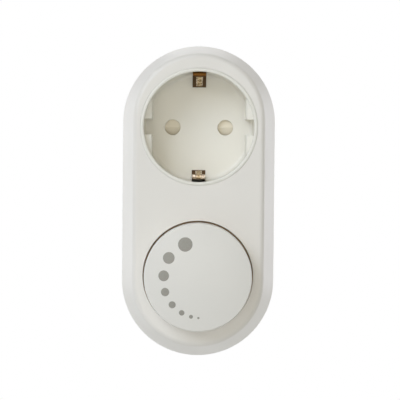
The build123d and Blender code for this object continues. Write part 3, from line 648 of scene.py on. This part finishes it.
def dot_printer():
    """The tree that puts a disc on each point and presses it onto the dome."""
    tree, given = geometry_tree("print_dots", {
        "Points": ("Geometry", None),
        "Ball Centre": ("Vector", ball_centre),
        "Dome Radius": ("Float", (dome_radius + ink_height) * MM),
        "Ink": ("Material", ink),
    }, "Dots")
    disc = add(tree, "GeometryNodeMeshCircle", {"Vertices": disc_sides, "Radius": 0.5},
               fill_type="TRIANGLE_FAN")
    upright = add(tree, "GeometryNodeTransform", {
        "Geometry": disc.outputs[0], "Rotation": (math.radians(90), 0, 0)})
    size = add(tree, "GeometryNodeInputNamedAttribute", {"Name": "diameter"},
               data_type="FLOAT")
    placed = add(tree, "GeometryNodeInstanceOnPoints", {
        "Points": given["Points"], "Instance": upright.outputs[0],
        "Scale": size.outputs[0]})
    real = add(tree, "GeometryNodeRealizeInstances", {"Geometry": placed.outputs[0]})
    where = add(tree, "GeometryNodeInputPosition")
    from_centre = add(tree, "ShaderNodeVectorMath", {
        0: where.outputs[0], 1: given["Ball Centre"]}, operation="SUBTRACT")
    outwards = add(tree, "ShaderNodeVectorMath", {0: from_centre.outputs[0]},
                   operation="NORMALIZE")
    on_ball = add(tree, "ShaderNodeVectorMath", {
        0: outwards.outputs[0], "Scale": given["Dome Radius"]}, operation="SCALE")
    on_dome = add(tree, "ShaderNodeVectorMath", {
        0: on_ball.outputs[0], 1: given["Ball Centre"]}, operation="ADD")
    pressed = add(tree, "GeometryNodeSetPosition", {
        "Geometry": real.outputs[0], "Position": on_dome.outputs[0]})
    inked = add(tree, "GeometryNodeSetMaterial", {
        "Geometry": pressed.outputs[0], "Material": given["Ink"]})
    add(tree, "NodeGroupOutput", {"Dots": inked.outputs[0]})
    return tree


dot_tree = dot_printer()
print("the tree", dot_tree.name, "has", len(dot_tree.nodes), "nodes")


# %% Eight discs on the dome
def grown(name, mesh, tree, **values):
    """Runs a Geometry Nodes tree on a mesh and gives the result as a plain object."""
    seed = bpy.data.objects.new(name, mesh)
    bpy.context.scene.collection.objects.link(seed)
    modifier = seed.modifiers.new(tree.name, "NODES")
    modifier.node_group = tree
    for socket in tree.interface.items_tree:
        if socket.in_out == "INPUT" and socket.name in values:
            modifier[socket.identifier] = values[socket.name]
    ready = seed.evaluated_get(bpy.context.evaluated_depsgraph_get())
    result = bpy.data.meshes.new_from_object(ready)
    seed.modifiers.remove(modifier)
    seed.data = result
    return seed


level_dots = grown("level_dots", dot_mesh, dot_tree)
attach(level_dots, "knob")
print("dots have", len(level_dots.data.polygons), "faces")


# %% [markdown]
# ## Case screws
#
# Four pan-head screws hold the halves together from the back. The CAD model has plain
# heads. A cross recess is what the eye looks for down the hole, so a screw with one is
# built once, from a turned profile with two tapered slots cut out, and Geometry Nodes
# set it on the four screw places.

# %% One screw, turned
def mesh_object(name, points, faces):
    """A plain mesh object from its points and faces, with its normals facing out."""
    mesh = bpy.data.meshes.new(name)
    mesh.from_pydata(points, [], faces)
    shape = bmesh.new()
    shape.from_mesh(mesh)
    bmesh.ops.recalc_face_normals(shape, faces=shape.faces)
    shape.to_mesh(mesh)
    shape.free()
    made = bpy.data.objects.new(name, mesh)
    bpy.context.scene.collection.objects.link(made)
    return made


def turned(name, profile, sides):
    """A closed solid of revolution about Y. The profile's points are (radius, y) in mm."""
    points, faces = [(0, profile[0][1] * MM, 0)], []
    for radius, y in profile:
        for step in range(sides):
            turn = math.tau * step / sides
            x, z = radius * MM * math.cos(turn), radius * MM * math.sin(turn)
            points.append((x, y * MM, z))
    points.append((0, profile[-1][1] * MM, 0))
    last = len(points) - 1
    for step in range(sides):
        after = (step + 1) % sides
        faces.append((0, 1 + step, 1 + after))
        faces.append((last, last - sides + after, last - sides + step))
        for ring in range(len(profile) - 1):
            low, high = 1 + ring * sides, 1 + (ring + 1) * sides
            faces.append((low + step, high + step, high + after, low + after))
    return mesh_object(name, points, faces)


head_radius, head_height, shank_radius, screw_sides = 2.8, 2.2, 1.45, 40
screw_low, screw_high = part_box("case_screws")
head_face = screw_high.y / MM
seat = head_face - head_height
tip = screw_low.y / MM
screw = turned("case_screw", [
    (1.9, head_face), (2.35, head_face - 0.12), (2.65, head_face - 0.4),
    (head_radius, head_face - 0.8), (head_radius, seat), (shank_radius, seat),
    (shank_radius, tip + 1.2), (0.5, tip)], screw_sides)
print("screw head faces +Y at", round(head_face, 1), "mm")

# %% Its cross recess
# Height, half length and half width in mm, just over the head and at the recess's floor
recess_ends = ((head_face + 0.1, 1.75, 0.45), (head_face - 1.3, 0.75, 0.25))
recess_turn = 20


def recess_arm(name, turn):
    """A wedge that cuts one bar of the cross: 3.4 mm long at the top, narrower below."""
    corners = []
    for y, length, width in recess_ends:
        for along, across in ((-1, -1), (1, -1), (1, 1), (-1, 1)):
            x, z = along * length * MM, across * width * MM
            turned_x = x * math.cos(turn) - z * math.sin(turn)
            turned_z = x * math.sin(turn) + z * math.cos(turn)
            corners.append((turned_x, y * MM, turned_z))
    faces = [(0, 1, 2, 3), (7, 6, 5, 4), (0, 4, 5, 1), (1, 5, 6, 2), (2, 6, 7, 3), (3, 7, 4, 0)]
    return mesh_object(name, corners, faces)


for index in range(2):
    arm = recess_arm("recess_arm_%d" % index, math.radians(recess_turn + 90 * index))
    cut = screw.modifiers.new("recess", "BOOLEAN")
    cut.object, cut.solver = arm, "EXACT"
    ready = screw.evaluated_get(bpy.context.evaluated_depsgraph_get())
    cut_mesh = bpy.data.meshes.new_from_object(ready)
    screw.modifiers.remove(cut)
    screw.data = cut_mesh
    bpy.data.objects.remove(arm)
print("one screw has", len(screw.data.polygons), "faces")

# %% Four screws on their places
foot_angle, turn_between_screws = 40, 55
waist_x = screw_high.x - head_radius * MM
foot_x = waist_x * math.sin(math.radians(foot_angle))
waist_z = screw_high.z - head_radius * MM
foot_z = screw_low.z + head_radius * MM
screw_points = bpy.data.meshes.new("screw_points")
screw_points.from_pydata([
    (-waist_x, 0, waist_z), (waist_x, 0, waist_z), (-foot_x, 0, foot_z), (foot_x, 0, foot_z),
], [], [])


def screw_setter():
    """The tree that sets a screw on each point and turns each a little further."""
    tree, given = geometry_tree("set_screws", {
        "Places": ("Geometry", None),
        "Screw": ("Object", screw),
        "Turn Each": ("Float", math.radians(turn_between_screws)),
        "Finish": ("Material", plated_zinc),
    }, "Screws")
    model = add(tree, "GeometryNodeObjectInfo", {"Object": given["Screw"]})
    number = add(tree, "GeometryNodeInputIndex")
    turn = add(tree, "ShaderNodeMath", {
        0: number.outputs[0], 1: given["Turn Each"]}, operation="MULTIPLY")
    about_y = add(tree, "ShaderNodeCombineXYZ", {"Y": turn.outputs[0]})
    placed = add(tree, "GeometryNodeInstanceOnPoints", {
        "Points": given["Places"], "Instance": model.outputs["Geometry"],
        "Rotation": about_y.outputs[0]})
    real = add(tree, "GeometryNodeRealizeInstances", {"Geometry": placed.outputs[0]})
    plated = add(tree, "GeometryNodeSetMaterial", {
        "Geometry": real.outputs[0], "Material": given["Finish"]})
    add(tree, "NodeGroupOutput", {"Screws": plated.outputs[0]})
    return tree


cross_screws = grown("cross_recess_screws", screw_points, screw_setter())
bpy.data.objects.remove(screw)
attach(cross_screws, "housing")
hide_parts("case_screws")
print("screws have", len(cross_screws.data.polygons), "faces")


# %% [markdown]
# ## Wound springs
#
# The push switch and the shutter each have a coil spring. Each is wound anew by
# Geometry Nodes, as long as the CAD one is at rest.

# %% The tree that winds a spring
coil_steps, wire_sides = 32, 10


def spring_winder():
    """The tree that winds a coil of round wire from its foot and leans it over."""
    tree, given = geometry_tree("wind_spring", {
        "Place": ("Vector", None), "Lean": ("Float", 0.0), "Length": ("Float", 0.0),
        "Radius": ("Float", 0.0), "Wire": ("Float", 0.0), "Turns": ("Float", 0.0),
        "Finish": ("Material", spring_steel),
    }, "Spring")
    rise = add(tree, "ShaderNodeMath", {
        0: given["Length"], 1: given["Wire"]}, operation="SUBTRACT")
    helix = add(tree, "GeometryNodeCurveSpiral", {
        "Resolution": coil_steps, "Rotations": given["Turns"],
        "Start Radius": given["Radius"], "End Radius": given["Radius"],
        "Height": rise.outputs[0]})
    half_wire = add(tree, "ShaderNodeMath", {
        0: given["Wire"], 1: 0.5}, operation="MULTIPLY")
    wire = add(tree, "GeometryNodeCurvePrimitiveCircle", {
        "Resolution": wire_sides, "Radius": half_wire.outputs[0]})
    wound = add(tree, "GeometryNodeCurveToMesh", {
        "Curve": helix.outputs[0], "Profile Curve": wire.outputs[0], "Fill Caps": True})
    lifted = add(tree, "ShaderNodeCombineXYZ", {"Z": half_wire.outputs[0]})
    stood = add(tree, "GeometryNodeTransform", {
        "Geometry": wound.outputs[0], "Translation": lifted.outputs[0]})
    leaning = add(tree, "ShaderNodeCombineXYZ", {"X": given["Lean"]})
    placed = add(tree, "GeometryNodeTransform", {
        "Geometry": stood.outputs[0], "Translation": given["Place"],
        "Rotation": leaning.outputs[0]})
    real = add(tree, "GeometryNodeRealizeInstances", {"Geometry": placed.outputs[0]})
    steel = add(tree, "GeometryNodeSetMaterial", {
        "Geometry": real.outputs[0], "Material": given["Finish"]})
    add(tree, "NodeGroupOutput", {"Spring": steel.outputs[0]})
    return tree


wind_spring = spring_winder()


def live_spring(node, upright, radius, wire, turns):
    """Winds a spring in a CAD spring's place."""
    low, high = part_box(node)
    middle = (low + high) / 2
    foot = (middle.x, middle.y, low.z) if upright else (middle.x, high.y, middle.z)
    length = high.z - low.z if upright else high.y - low.y
    made = grown(
        node + "_live", bpy.data.meshes.new(node), wind_spring, Place=foot, Length=length,
        Radius=radius * MM, Wire=wire * MM, Turns=float(turns),
        Lean=0.0 if upright else math.radians(90))
    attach(made, "housing")
    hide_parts(node)
    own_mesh(made)
    print(node, "is", round(length / MM, 1), "mm long, with",
          len(made.data.polygons), "faces")


live_spring("switch_spring", upright=False,
            radius=2.8, wire=0.4, turns=4)
live_spring("shutter_spring", upright=True,
            radius=1.2, wire=0.3, turns=6)
